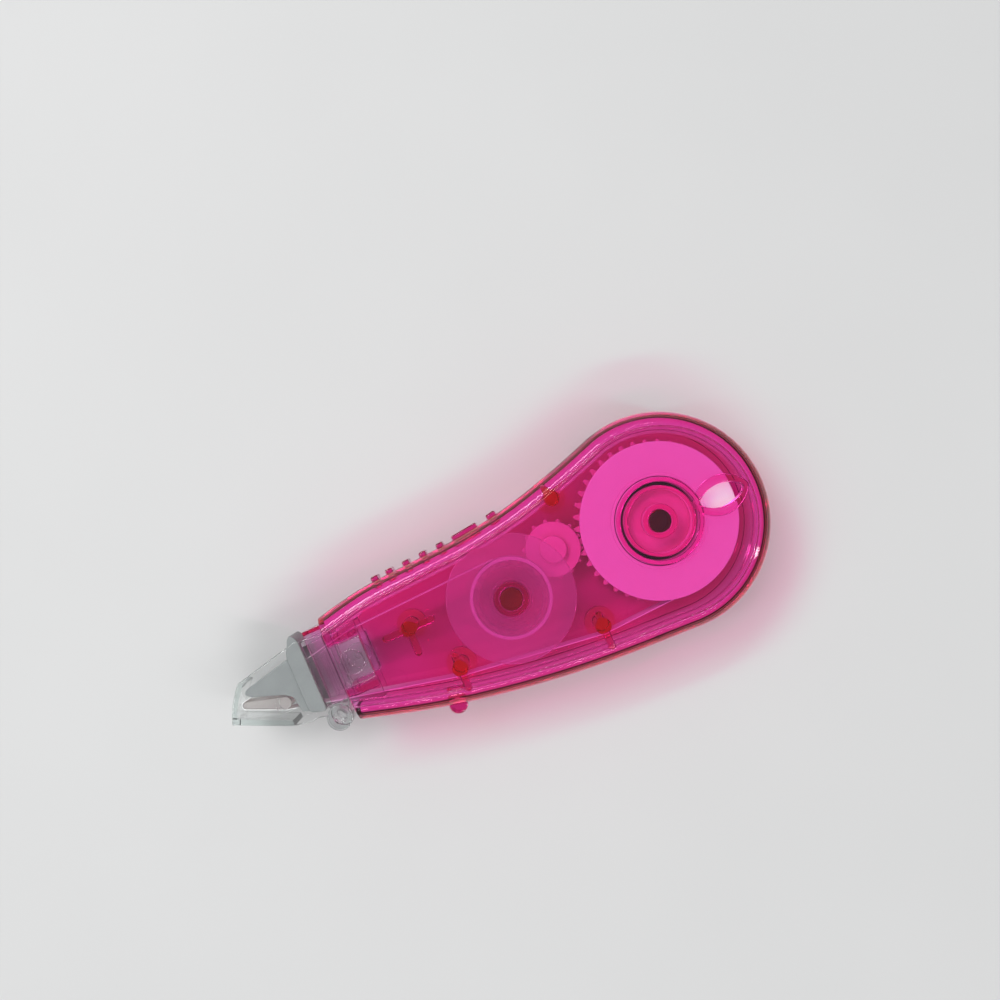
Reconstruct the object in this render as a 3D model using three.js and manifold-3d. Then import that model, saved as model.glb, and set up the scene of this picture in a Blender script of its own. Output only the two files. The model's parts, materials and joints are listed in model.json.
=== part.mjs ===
// A hand-held correction tape roller: a see-through tear-drop casing in two halves, holding a supply reel
// and a take-up reel geared together through an idler, a nose that presses the tape onto the paper, and a
// clear cap that swings off the nose. Millimetres. The roller lies on its rear casing half: X runs from the
// nose to the rounded tail, Y is up when the roller is held in use, Z is the thickness.
// The origin is where the supply reel's axis meets the rear face.
import * as THREE from "three";
import { mergeVertices } from "three/addons/utils/BufferGeometryUtils.js";
import Module from "manifold-3d";

// ---------------------------------------------------------------- driving dimensions
const THICKNESS = 13; // over both casing faces
const MID = THICKNESS / 2;
const PARTING_GAP = 0.1; // between the two casing halves
const PLATE = 1.3; // casing face plate
const PLATE_Z = THICKNESS - PLATE; // inside of the front face plate
const ROOT = 0.2; // a post or rib starts this far inside the wall it stands on
const TAIL_RADIUS = 16.6; // casing outline round the supply reel
const TAIL_CENTRE_Y = -0.3;
const CASING_FRONT_X = -52.4; // the casing's mouth, which the head plugs
const NECK_X = -55.4; // front end of the casing's thin neck, over the head

const TAPE_WIDTH = 5;
const TAPE = 0.2; // drawn thickness of a tape strand, much thicker than the real film
const TAPE_Z0 = MID - TAPE_WIDTH / 2;
const TAPE_Z1 = MID + TAPE_WIDTH / 2;
const GEAR_Z0 = 1.7;
const GEAR_Z1 = 3.2;
const DISC_Z = 9.3; // underside of both front reel discs
const SOCKET_Z = 10.4; // lowest point of the sockets and ring ribs over the reels

const MODULE = 0.6; // gear module
const SUPPLY_TEETH = 40;
const IDLER_TEETH = 14;
const TAKEUP_TEETH = 18;
const ADDENDUM = 0.8 * MODULE;
const DEDENDUM = 1.15 * MODULE;
const BACKLASH = 0.16; // taken off each tooth's thickness

const SPINDLE = 1.7; // radius of the two reel spindles
const IDLER_SPINDLE = 1.15;
const IDLER_SPINDLE_TOP = 4.2;
const RUNNING = 0.08; // radial clearance of a part that turns
const HUB = 2.6;
const IDLER_FLANGE = 4.25; // disc over the idler's teeth
const DRUM_Z = 4; // foot of the take-up drum's full width
const CORE = 6.6; // ring that the fresh tape is wound on, outside radius
const CORE_WALL = 0.7;
const CLUTCH_TUBE = 5.35; // tube on the supply gear that the clutch ring grips
const TUBE_WALL = 0.6;
const SUPPLY_PACK = 11.3; // full tape pack radius
const SUPPLY_DISC = 11.9;
const TAKEUP_DRUM = 5.6;
const TAKEUP_NECK = 5.2; // the drum's narrow foot, which passes the idler's flange
const TAKEUP_PACK = 6.2;
const TAKEUP_DISC = 9.8;

const PIN = 1.2; // casing assembly pins, which also guide the tape
const AXLE = 0.9; // axle of the transfer tip, which the fresh tape runs under
const TIP_RADIUS = 0.45; // pressing edge
const CAP_PIN = 1.0;
const CAP_EYE = 1.9;
const CAP_INNER = 15.2; // inside radius of the cap's end wall about its pivot
const CAP_OUTER = 15.9;
const CAP_CHEEK = 0.9;

// Half-widths of the stacked head parts either side of the middle plane.
const COLLAR_HALF = 4.3;
const HOLDER_HALF = 3.6;
const NECK_INNER_HALF = 3.7;
const NECK_HALF = 4.3;
const CHEEK_HALF = 3.8;
const LUG_HALF = 3.9;
const GUARD_BORE_HALF = 3.3;
const ARM_HALF = 3.2;
const ARM_INNER_HALF = 2.65;
const TUNNEL_HALF = 2.75;
const CAP_INNER_HALF = 4.45;

// ---------------------------------------------------------------- places, [x, y]
const ORIGIN = [0, 0];
const SUPPLY = ORIGIN;
const TAKEUP = [-24.8, -1.83];
const REAR_PIN = [-13.9, -10.9]; // this pin and the next hold the fresh tape down
const FRONT_PIN = [-35.8, -8.2];
const TOP_PIN = [-13.4, 9.5];
const MIDDLE_PIN = [-40.5, 0.2];
const TIP_AXLE = [-61.9, -2.7];
const TIP_EDGE = [-67.5, -0.78]; // middle of the pressing edge's radius
const RETURN_GUIDE = [-49, 2.85]; // bar in the holder that the bare backing runs over
const RETURN_GUIDE_RADIUS = 0.4;
const LOCK_BOSS = [-50, -0.9];
const CAP_PIVOT = [-55.1, -7.8];

const radiusOf = (teeth) => (MODULE * teeth) / 2;
const IDLER = meetingPoint(
  SUPPLY, radiusOf(SUPPLY_TEETH + IDLER_TEETH),
  TAKEUP, radiusOf(TAKEUP_TEETH + IDLER_TEETH),
);

// The point at distance ra from a and rb from b, on the upper side of the line a-b.
function meetingPoint(a, ra, b, rb) {
  const dx = b[0] - a[0];
  const dy = b[1] - a[1];
  const d = Math.hypot(dx, dy);
  const along = (ra * ra - rb * rb + d * d) / (2 * d);
  const up = Math.sqrt(ra * ra - along * along);
  return [a[0] + (dx * along + dy * up) / d, a[1] + (dy * along - dx * up) / d];
}

// ---------------------------------------------------------------- solids
const wasm = await Module();
wasm.setup();

function solid(geometry) {
  const bare = new THREE.BufferGeometry();
  bare.setAttribute("position", geometry.getAttribute("position"));
  if (geometry.index) bare.setIndex(geometry.index);
  const merged = mergeVertices(bare, 1e-4);
  return new wasm.Manifold(
    new wasm.Mesh({
      numProp: 3,
      vertProperties: new Float32Array(merged.getAttribute("position").array),
      triVerts: new Uint32Array(merged.index.array),
    }),
  );
}

function geometryOf(body) {
  const mesh = body.getMesh();
  const geometry = new THREE.BufferGeometry();
  geometry.setAttribute("position", new THREE.BufferAttribute(mesh.vertProperties, 3));
  geometry.setIndex(new THREE.BufferAttribute(mesh.triVerts, 1));
  geometry.computeVertexNormals();
  return geometry;
}

const join = (...bodies) => bodies.reduce((a, b) => a.add(b));
const cut = (body, ...tools) => tools.reduce((a, b) => a.subtract(b), body);

function slab(shape, z0, z1, curveSegments = 12) {
  const geometry = new THREE.ExtrudeGeometry(shape, {
    depth: z1 - z0, bevelEnabled: false, curveSegments,
  });
  return solid(geometry.translate(0, 0, z0));
}

function disc([x, y], radius, z0, z1, sides = 32) {
  const shape = new THREE.Shape().absarc(x, y, radius, 0, 2 * Math.PI);
  return slab(shape, z0, z1, sides / 2);
}

function ring([x, y], inner, outer, z0, z1, sides = 32) {
  const shape = new THREE.Shape().absarc(x, y, outer, 0, 2 * Math.PI);
  shape.holes.push(new THREE.Path().absarc(x, y, inner, 0, 2 * Math.PI, true));
  return slab(shape, z0, z1, sides / 2);
}

function box(x0, x1, y0, y1, z0, z1) {
  const geometry = new THREE.BoxGeometry(x1 - x0, y1 - y0, z1 - z0);
  return solid(geometry.translate((x0 + x1) / 2, (y0 + y1) / 2, (z0 + z1) / 2));
}

// A polygon with each corner rounded by a curve that starts `round` before it.
function rounded(points, round) {
  const shape = new THREE.Shape();
  points.forEach((corner, i) => {
    const c = new THREE.Vector2(...corner);
    const before = new THREE.Vector2(...points.at(i - 1));
    const after = new THREE.Vector2(...points[(i + 1) % points.length]);
    const reach = Math.min(round, c.distanceTo(before) / 2.1, c.distanceTo(after) / 2.1);
    const start = c.clone().add(before.sub(c).setLength(reach));
    const end = c.clone().add(after.sub(c).setLength(reach));
    if (i === 0) shape.moveTo(start.x, start.y);
    else shape.lineTo(start.x, start.y);
    shape.quadraticCurveTo(c.x, c.y, end.x, end.y);
  });
  return shape.closePath();
}

// A bar with round ends from a to b.
function bar(a, b, width, z0, z1) {
  const turn = Math.atan2(b[1] - a[1], b[0] - a[0]);
  const shape = new THREE.Shape();
  shape.absarc(a[0], a[1], width / 2, turn + Math.PI / 2, turn + 1.5 * Math.PI);
  shape.absarc(b[0], b[1], width / 2, turn - Math.PI / 2, turn + Math.PI / 2);
  return slab(shape.closePath(), z0, z1, 6);
}

// ---------------------------------------------------------------- casing outline
const topEdge = new THREE.SplineCurve([
  [-58, 5.6], [CASING_FRONT_X, 7.0], [-44.8, 8.5], [-36.5, 9.1],
  [-28, 9.75], [-20, 11.05], [-12, 13.2], [-4.96, 15.52],
].map((p) => new THREE.Vector2(...p)));
const bottomEdge = new THREE.SplineCurve([
  [-0.7, -16.88], [-13.8, -16.4], [-24, -15.5], [-34, -14.0],
  [-43, -12.1], [CASING_FRONT_X, -9.5], [-58, -7.9],
].map((p) => new THREE.Vector2(...p)));

// Points down the whole outline, clockwise seen from +Z, each with its inward normal.
function sampleOutline() {
  const first = topEdge.getPoint(1);
  const last = bottomEdge.getPoint(0);
  const angleOf = (p) => Math.atan2(p.y - TAIL_CENTRE_Y, p.x);
  const tail = new THREE.Path().absarc(0, TAIL_CENTRE_Y, TAIL_RADIUS, angleOf(first), angleOf(last), true);
  const points = [
    ...topEdge.getSpacedPoints(16),
    ...tail.getSpacedPoints(26).slice(1),
    ...bottomEdge.getSpacedPoints(14).slice(1),
  ];
  return points.map((p, i) => {
    const before = points[Math.max(i - 1, 0)];
    const after = points[Math.min(i + 1, points.length - 1)];
    const along = after.clone().sub(before).normalize();
    return { x: p.x, y: p.y, nx: along.y, ny: -along.x };
  });
}
const outline = sampleOutline();

// A closed body through a stack of layers [z, inset of the outline], lowest first.
function loft(layers) {
  const n = outline.length;
  const rings = layers.map(([z, inset]) =>
    outline.map((o) => [o.x + o.nx * inset, o.y + o.ny * inset, z]));
  const faces = [];
  for (let k = 0; k + 1 < rings.length; k++)
    for (let i = 0; i < n; i++) {
      const a = k * n + i;
      const b = k * n + ((i + 1) % n);
      faces.push(a, a + n, b, b, a + n, b + n);
    }
  const cap = (ring, first, facingUp) => {
    const flat = ring.map(([x, y]) => new THREE.Vector2(x, y));
    for (const [a, b, c] of THREE.ShapeUtils.triangulateShape(flat, [])) {
      const turnsLeft = THREE.ShapeUtils.area([flat[a], flat[b], flat[c]]) > 0;
      faces.push(first + a, first + (turnsLeft === facingUp ? b : c), first + (turnsLeft === facingUp ? c : b));
    }
  };
  cap(rings[0], 0, false);
  cap(rings.at(-1), (rings.length - 1) * n, true);
  const geometry = new THREE.BufferGeometry();
  geometry.setAttribute("position", new THREE.Float32BufferAttribute(rings.flat(2), 3));
  geometry.setIndex(faces);
  return solid(geometry);
}

// Shoulder of the front half from the parting plane up to the raised face: [height, inset].
const SHOULDER = [[9.3, 0], [10.9, 0.35], [11.9, 0.95], [12.5, 1.75], [12.65, 2.25], [THICKNESS, 2.4]];
const HOLLOW = [[9.3, 1.45], [10.9, 2.1], [11.4, 2.7], [THICKNESS - PLATE, 3.5]];
const flipped = (layers) => layers.map(([z, inset]) => [THICKNESS - z, inset]).reverse();

// ---------------------------------------------------------------- gears
// Involute teeth round the origin, one of them on the X axis. Below the base circle a flank runs
// straight to the root.
function gearShape(teeth) {
  const pitch = radiusOf(teeth);
  const base = pitch * Math.cos(THREE.MathUtils.degToRad(20));
  const involute = (r) => (r > base ? Math.sqrt((r / base) ** 2 - 1) - Math.acos(base / r) : 0);
  const halfTooth = Math.PI / (2 * teeth) - BACKLASH / 2 / pitch;
  const root = pitch - DEDENDUM;
  const tip = pitch + ADDENDUM;
  const flank = [root, Math.max(root, base), pitch, tip]
    .filter((r, i, all) => i === 0 || r > all[i - 1] + 1e-6);
  const shape = new THREE.Shape();
  const put = (r, angle, first) => {
    const x = r * Math.cos(angle);
    const y = r * Math.sin(angle);
    if (first) shape.moveTo(x, y);
    else shape.lineTo(x, y);
  };
  for (let i = 0; i < teeth; i++) {
    const middle = (i * 2 * Math.PI) / teeth;
    const half = (r) => halfTooth + involute(pitch) - involute(r);
    flank.forEach((r, j) => put(r, middle - half(r), i === 0 && j === 0));
    flank.toReversed().forEach((r) => put(r, middle + half(r)));
  }
  return shape.closePath();
}

const angleTo = (a, b) => Math.atan2(b[1] - a[1], b[0] - a[0]);
const pitchAngle = (teeth) => (2 * Math.PI) / teeth;
// Turns that put a tooth of one gear in a gap of the next at rest.
const supplyTurn = angleTo(SUPPLY, IDLER);
const idlerTurn = angleTo(IDLER, SUPPLY) + pitchAngle(IDLER_TEETH) / 2;
const idlerTeethToTakeup = (angleTo(IDLER, TAKEUP) - idlerTurn) / pitchAngle(IDLER_TEETH);
const takeupTurn = angleTo(TAKEUP, IDLER) + (idlerTeethToTakeup + 0.5) * pitchAngle(TAKEUP_TEETH);

// ---------------------------------------------------------------- materials
const plastic = (color, options = {}) =>
  new THREE.MeshStandardMaterial({ color, roughness: 0.35, metalness: 0, ...options });
const seeThrough = (color, opacity) => plastic(color, { transparent: true, opacity, roughness: 0.1 });
const PINK_CASING = 0xf0307c;
const CLEAR = 0xf2f2f4;
const PALE_PINK = 0xf7b6d8;
const CLEAR_PINK = 0xf6a8cc;
const GREY = 0x55595b;

// ---------------------------------------------------------------- casing halves
// Grip ridges on the top edge: [middle x, length].
const GRIP_RIDGES = [
  ...[0, 1, 2, 3, 4].map((i) => [-42.6 + 2.75 * i, 1.1]), [-27.2, 4.2], [-22.5, 1.5],
];
const RIDGE_PROUD = 0.65;
const RIDGE_DEPTH = 1.2;
const RIDGE_HALF_WIDTH = 2.4;
const CATCH = [-38.4, -13.3]; // small round stud under the chin
const CATCH_RADIUS = 1.4;
const NOTCH = { x0: CASING_FRONT_X - 1, x1: -47.5, y0: -4.3, y1: 2.4 }; // filled by the head's lock plate
const WINDOW = { x: 9.7, openX: 3.45, openY: 1.7, collarX: 4.5, collarY: 3.0, lip: 0.3 }; // thumb window

function gripRidge([x, length], z0, z1) {
  const steps = 500;
  let t = 0;
  for (let i = 1; i <= steps; i++)
    if (Math.abs(topEdge.getPoint(i / steps).x - x) < Math.abs(topEdge.getPoint(t).x - x)) t = i / steps;
  const p = topEdge.getPoint(t);
  const tangent = topEdge.getTangent(t);
  const height = RIDGE_PROUD + RIDGE_DEPTH;
  const geometry = new THREE.BoxGeometry(length, height, z1 - z0);
  geometry.translate(0, height / 2 - RIDGE_DEPTH, (z0 + z1) / 2);
  geometry.rotateZ(Math.atan2(tangent.y, tangent.x));
  return solid(geometry.translate(p.x, p.y, 0));
}

// What both halves share between z0 and z1: the wall, the grip ridges and the chin stud.
function shell(layers, z0, z1) {
  const ridgeZ = [Math.max(z0, MID - RIDGE_HALF_WIDTH), Math.min(z1, MID + RIDGE_HALF_WIDTH)];
  const outside = join(
    loft(layers),
    ...GRIP_RIDGES.map((ridge) => gripRidge(ridge, ...ridgeZ)),
    disc(CATCH, CATCH_RADIUS, ...ridgeZ, 20),
  );
  const hollow = loft([...flipped(HOLLOW), ...HOLLOW]);
  return cut(outside, hollow, box(-70, CASING_FRONT_X, -20, 20, -1, THICKNESS + 1));
}

// Almond-shaped body on the thumb window, through layers [height, half-length, half-height].
function almond(layers) {
  const sides = 28;
  const points = layers.flatMap(([z, a, b]) =>
    Array.from({ length: sides }, (_, i) => {
      const t = (i * 2 * Math.PI) / sides;
      const rise = Math.sign(Math.sin(t)) * Math.abs(Math.sin(t)) ** 1.5;
      return [WINDOW.x + a * Math.cos(t), b * rise, z];
    }));
  const faces = [];
  for (let k = 0; k + 1 < layers.length; k++)
    for (let i = 0; i < sides; i++) {
      const a = k * sides + i;
      const b = k * sides + ((i + 1) % sides);
      faces.push(a, b, a + sides, b, b + sides, a + sides);
    }
  const last = (layers.length - 1) * sides;
  for (let i = 1; i + 1 < sides; i++) faces.push(0, i + 1, i, last, last + i, last + i + 1);
  const geometry = new THREE.BufferGeometry();
  geometry.setAttribute("position", new THREE.Float32BufferAttribute(points.flat(), 3));
  geometry.setIndex(faces);
  return solid(geometry);
}

// The window's opening, chamfered where it meets the face, and the collar that hangs round it inside.
const windowOpening = () => almond([
  [SOCKET_Z - 0.5, WINDOW.openX, WINDOW.openY],
  [THICKNESS - WINDOW.lip, WINDOW.openX, WINDOW.openY],
  [THICKNESS, WINDOW.openX + WINDOW.lip, WINDOW.openY + WINDOW.lip],
  [THICKNESS + 0.5, WINDOW.openX + WINDOW.lip, WINDOW.openY + WINDOW.lip],
]);
const windowCollar = (top) => almond([
  [SOCKET_Z + 0.2, WINDOW.collarX, WINDOW.collarY],
  [top, WINDOW.collarX, WINDOW.collarY],
]);

// Thin neck that carries the casing's skin forward over the head, one half each side of the middle plane.
// Between its two feet it leaves room for the lock plate.
function neck(inner, outer, plateInside) {
  const rearX = CASING_FRONT_X + 0.8;
  const [low, high] = [-5.6, 5.95];
  const foot = (y0, y1) => box(CASING_FRONT_X, rearX, y0, y1, ...span(inner, plateInside));
  const sheet = (x1, y0, y1) => box(NECK_X, x1, y0, y1, ...span(inner, outer));
  return [
    sheet(CASING_FRONT_X - 0.15, low, high),
    sheet(rearX, NOTCH.y1 + 0.1, high),
    sheet(rearX, low, NOTCH.y0 - 0.1),
    foot(NOTCH.y1 + 0.1, high - 0.9),
    foot(low, NOTCH.y0 - 0.1),
    box(NECK_X, rearX, high - 0.6, high, ...span(inner > 0 ? PARTING_GAP / 2 : -PARTING_GAP / 2, outer)),
  ];
}

// Heights above the middle plane as a z range, lowest first.
const span = (a, b) => [MID + Math.min(a, b), MID + Math.max(a, b)];

function frontCasing() {
  const z0 = MID + PARTING_GAP / 2;
  const top = PLATE_Z + ROOT;
  const ribZ = 9.6;
  const ribWidth = 1.1;
  const pins = [REAR_PIN, FRONT_PIN, TOP_PIN, MIDDLE_PIN].map((at) => disc(at, PIN, 2.2, top, 20));
  const rib = (from, to) => bar(from, to, ribWidth, ribZ, top);
  const [mx, my] = MIDDLE_PIN;
  const ribs = [
    rib([REAR_PIN[0], -9.1], [REAR_PIN[0], -14]),
    rib([FRONT_PIN[0], -6.2], [FRONT_PIN[0], -11.2]),
    rib(TOP_PIN, [-13.7, 10.6]),
    rib([mx - 3.6, my], [mx + 3.6, my]),
    rib([mx, my], [mx, my - 3.7]),
  ];
  const tabs = [3.1, -5.2].map((y) => bar([-51.4, y], [-48, y], 1.1, MID + HOLDER_HALF + 0.25, top));
  const socket = (at) => ring(at, SPINDLE + 0.15, SPINDLE + 0.85, SOCKET_Z, top, 24);
  const ringRib = (inner, outer) => ring(SUPPLY, inner, outer, SOCKET_Z, top, 36);
  const body = join(
    shell([[z0, 0], ...SHOULDER], z0, THICKNESS),
    ...pins, ...ribs, ...tabs, ...neck(NECK_INNER_HALF, NECK_HALF, top - MID),
    socket(SUPPLY), socket(TAKEUP), ringRib(4.8, 5.3), ringRib(5.9, 6.5), windowCollar(top),
  );
  return cut(
    body, windowOpening(),
    box(NOTCH.x0, NOTCH.x1, NOTCH.y0, NOTCH.y1, PLATE_Z - 1, THICKNESS + 1),
  );
}

function rearCasing() {
  const z1 = MID - PARTING_GAP / 2;
  const foot = PLATE - ROOT;
  const socket = (at) => ring(at, PIN + 0.1, 2.35, foot, 3.4, 24);
  const spindleTop = 11.3;
  const body = join(
    shell([...flipped(SHOULDER), [z1, 0]], 0, z1),
    ...[REAR_PIN, FRONT_PIN, TOP_PIN, MIDDLE_PIN].map(socket),
    ...neck(-NECK_INNER_HALF, -NECK_HALF, foot - MID),
    disc(SUPPLY, SPINDLE, foot, spindleTop, 24),
    disc(TAKEUP, SPINDLE, foot, spindleTop, 24),
    disc(IDLER, IDLER_SPINDLE, foot, IDLER_SPINDLE_TOP, 20),
  );
  return cut(body, box(NOTCH.x0, NOTCH.x1, NOTCH.y0, NOTCH.y1, -1, PLATE + 1));
}

// ---------------------------------------------------------------- reels, each about its own axis
const bore = (radius, top = THICKNESS + 1, sides = 24) => disc(ORIGIN, radius + RUNNING, -1, top, sides);

// Toothed rim with a tube for the clutch ring; inside the tube a raised web carries the hub.
function supplyGear() {
  const webZ = 6.6;
  const web = 0.8;
  const tubeInside = CLUTCH_TUBE - TUBE_WALL;
  const rim = cut(slab(gearShape(SUPPLY_TEETH), GEAR_Z0, GEAR_Z1), disc(ORIGIN, tubeInside, 0, THICKNESS, 36));
  const body = join(
    rim,
    ring(ORIGIN, tubeInside, CLUTCH_TUBE, GEAR_Z0, 9.0, 36),
    disc(ORIGIN, tubeInside + TUBE_WALL / 2, webZ, webZ + web, 36),
    disc(ORIGIN, HUB, GEAR_Z0, 9.9, 24),
  );
  return cut(body, bore(SPINDLE));
}

// Rubber ring squeezed between the gear's tube and the tape core, so the reel slips when pulled too hard.
function clutchRing() {
  const middle = (CLUTCH_TUBE + CORE - CORE_WALL) / 2;
  const geometry = new THREE.TorusGeometry(middle, 0.2, 6, 36);
  return solid(geometry.translate(0, 0, MID));
}

const supplyCore = () => ring(ORIGIN, CORE - CORE_WALL, CORE, GEAR_Z1 + 0.25, 10.1, 44);
const supplyDisc = () => ring(ORIGIN, CORE + 0.12, SUPPLY_DISC, DISC_Z, 10.1, 52);
const supplyRoll = () => ring(ORIGIN, CORE + 0.12, SUPPLY_PACK, TAPE_Z0, TAPE_Z1, 52);

// The idler's bore is blind: its flat top hides the spindle.
function idlerGear() {
  const body = join(
    slab(gearShape(IDLER_TEETH), GEAR_Z0, GEAR_Z1),
    disc(ORIGIN, 3.1, GEAR_Z0, DRUM_Z - 0.3, 24),
    disc(ORIGIN, IDLER_FLANGE, GEAR_Z1 + 0.15, DRUM_Z - 0.15, 40),
    disc(ORIGIN, 2.1, GEAR_Z0, IDLER_SPINDLE_TOP + 0.7, 24),
  );
  return cut(body, bore(IDLER_SPINDLE, IDLER_SPINDLE_TOP + 0.2, 20));
}

function takeupReel() {
  const body = join(
    slab(gearShape(TAKEUP_TEETH), GEAR_Z0, GEAR_Z1),
    ring(ORIGIN, TAKEUP_DRUM - 0.8, TAKEUP_NECK, GEAR_Z1, DRUM_Z + ROOT, 36),
    ring(ORIGIN, TAKEUP_DRUM - 0.8, TAKEUP_DRUM, DRUM_Z, 9.1, 36),
    disc(ORIGIN, HUB, GEAR_Z0, 10.1, 24),
  );
  return cut(body, bore(SPINDLE));
}

const takeupDisc = () => ring(ORIGIN, HUB + 0.12, TAKEUP_DISC, DISC_Z, 9.75, 48);
const takeupRoll = () => ring(ORIGIN, TAKEUP_DRUM + 0.12, TAKEUP_PACK, TAPE_Z0, TAPE_Z1, 40);

// ---------------------------------------------------------------- tape strands
const WRAP = TAPE / 2 + 0.1; // from the surface a strand runs over to the strand's middle
const FILM_GAP = 0.15; // where the stretch on the tip is parted from the rest

// The straight run that touches circle a then circle b, each on the side sa or sb
// (+1: the circle lies to the left of the direction of travel).
function tangentRun(a, ra, sa, b, rb, sb) {
  const d = new THREE.Vector2(b[0] - a[0], b[1] - a[1]);
  const heading = d.angle() - Math.asin((rb * sb - ra * sa) / d.length());
  const right = [Math.sin(heading), -Math.cos(heading)];
  return [
    [a[0] + right[0] * ra * sa, a[1] + right[1] * ra * sa],
    [b[0] + right[0] * rb * sb, b[1] + right[1] * rb * sb],
  ];
}

// The film's whole way round its guides [centre, radius, side]: straight runs joined by arcs.
function strand(guides) {
  const runs = guides.slice(1).map(([b, rb, sb], i) => tangentRun(...guides[i], b, rb, sb));
  const path = new THREE.Path().moveTo(...runs[0][0]);
  runs.forEach(([, end], i) => {
    path.lineTo(...end);
    if (i + 1 === runs.length) return;
    const [centre, radius, side] = guides[i + 1];
    path.absarc(...centre, radius, angleTo(centre, end), angleTo(centre, runs[i + 1][0]), side < 0);
  });
  const points = path.getPoints(3).filter((p, i, all) => i === 0 || p.distanceTo(all[i - 1]) > 0.02);
  const side = points.map((p, i) => {
    const along = points[Math.min(i + 1, points.length - 1)].clone().sub(points[Math.max(i - 1, 0)]);
    return new THREE.Vector2(-along.y, along.x).setLength(TAPE / 2);
  });
  const left = points.map((p, i) => p.clone().add(side[i]));
  const right = points.map((p, i) => p.clone().sub(side[i])).reverse();
  return slab(new THREE.Shape([...left, ...right]), TAPE_Z0, TAPE_Z1);
}

// Off the bottom of the supply pack, under both lower pins and the tip's axle, round the pressing edge,
// and back over the holder's guide bar to the top of the take-up pack.
const film = strand([
  [SUPPLY, SUPPLY_PACK + WRAP, -1],
  [REAR_PIN, PIN + WRAP, -1],
  [FRONT_PIN, PIN + WRAP, -1],
  [TIP_AXLE, AXLE + WRAP, -1],
  [TIP_EDGE, TIP_RADIUS + WRAP, -1],
  [RETURN_GUIDE, RETURN_GUIDE_RADIUS + WRAP, -1],
  [TAKEUP, TAKEUP_PACK + WRAP, -1],
]);

// The stretch round the tip moves with it, from just past the axle to a little behind the pressing edge.
const tipZone = (gap) => {
  const side = [-5, 2];
  const beneath = [-5, -1.9];
  return join(
    box(-70, -65.6 + gap, ...side, 0, THICKNESS),
    box(-70, -62.6 + gap, ...beneath, 0, THICKNESS),
  );
};
const FILM_SPLIT_Y = -1.5; // the feeding strand runs below this, the returning one above
const rest = cut(film, tipZone(FILM_GAP));
const feedTape = () => rest.intersect(box(-70, 20, -20, FILM_SPLIT_Y, 0, THICKNESS));
const returnTape = () => rest.intersect(box(-70, 20, FILM_SPLIT_Y, 20, 0, THICKNESS));
const tipTape = () => film.intersect(tipZone(0));

// ---------------------------------------------------------------- head
const eachSide = (inner, outer, make) => [make(MID + inner, MID + outer), make(MID - outer, MID - inner)];

// Clear holder: plugs the casing's mouth, locks into both face plates, and carries the cap's pivot lug
// and the two arms that hold the tip's axle.
function headHolder() {
  const block = rounded([
    [-56.25, 4.7], [-47.7, 5.2], [-47.7, -7.9], [-56.25, -6.1],
  ], 0.5);
  const tunnel = rounded([[-57, 3.95], [-46, 4.5], [-46, -8.05], [-57, -5.45]], 0.3);
  const arm = rounded([
    [-53.8, 1.4], [-59, 1.4], [-61.4, -1.2], [-63.3, -1.7], [-63.5, -3.4], [-62.5, -4.2],
    [-60.8, -4.1], [-53.8, -4.8],
  ], 0.6);
  const plateGap = 0.15;
  const lockPlate = (z0, z1) =>
    box(CASING_FRONT_X, NOTCH.x1 - plateGap, NOTCH.y0 + plateGap, NOTCH.y1 - plateGap, z0, z1);
  const plug = cut(
    join(
      slab(block, MID - HOLDER_HALF, MID + HOLDER_HALF, 6),
      disc(CAP_PIVOT, CAP_EYE, MID - LUG_HALF, MID + LUG_HALF, 24),
    ),
    slab(tunnel, MID - TUNNEL_HALF, MID + TUNNEL_HALF, 6),
  );
  const body = join(
    plug,
    ...eachSide(HOLDER_HALF - ROOT, 6.0, lockPlate),
    ...eachSide(HOLDER_HALF - ROOT, 6.35, (z0, z1) => disc(LOCK_BOSS, 1.9, z0, z1, 24)),
    ...eachSide(ARM_INNER_HALF, ARM_HALF, (z0, z1) => slab(arm, z0, z1, 6)),
    disc(RETURN_GUIDE, RETURN_GUIDE_RADIUS, MID - HOLDER_HALF + ROOT, MID + HOLDER_HALF - ROOT, 12),
  );
  return cut(
    body,
    disc(CAP_PIVOT, CAP_PIN + RUNNING, -1, THICKNESS + 1, 20),
    disc(TIP_AXLE, AXLE + RUNNING, -1, THICKNESS + 1, 20),
  );
}

// Grey nose guard: a winged collar in front of the holder, two cheeks and a roof over the tape.
function noseGuard() {
  const collar = rounded([
    [-59, 3.5], [-57.7, 6.2], [-57.0, 6.2], [-56.4, 4.9], [-56.4, -6.2], [-59, -5.4],
  ], 0.5);
  const cheek = rounded([
    [-58.6, 3.3], [-66.4, 1.45], [-66.9, 0.85], [-66.2, 0.15], [-61.5, -1.5],
    [-60.3, -2.4], [-60.0, -4.9], [-58.6, -5.3],
  ], 0.4);
  const opening = rounded([
    [-70, -0.2], [-58.6, 2.75], [-57.5, 3.9], [-53, 3.9], [-53, -5.9], [-56.5, -5.35],
    [-60.5, -4.5], [-70, -4.5],
  ], 0.2);
  return cut(
    join(
      slab(collar, MID - COLLAR_HALF, MID + COLLAR_HALF, 6),
      slab(cheek, MID - CHEEK_HALF, MID + CHEEK_HALF, 6),
    ),
    slab(opening, MID - GUARD_BORE_HALF, MID + GUARD_BORE_HALF, 6),
  );
}

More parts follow.
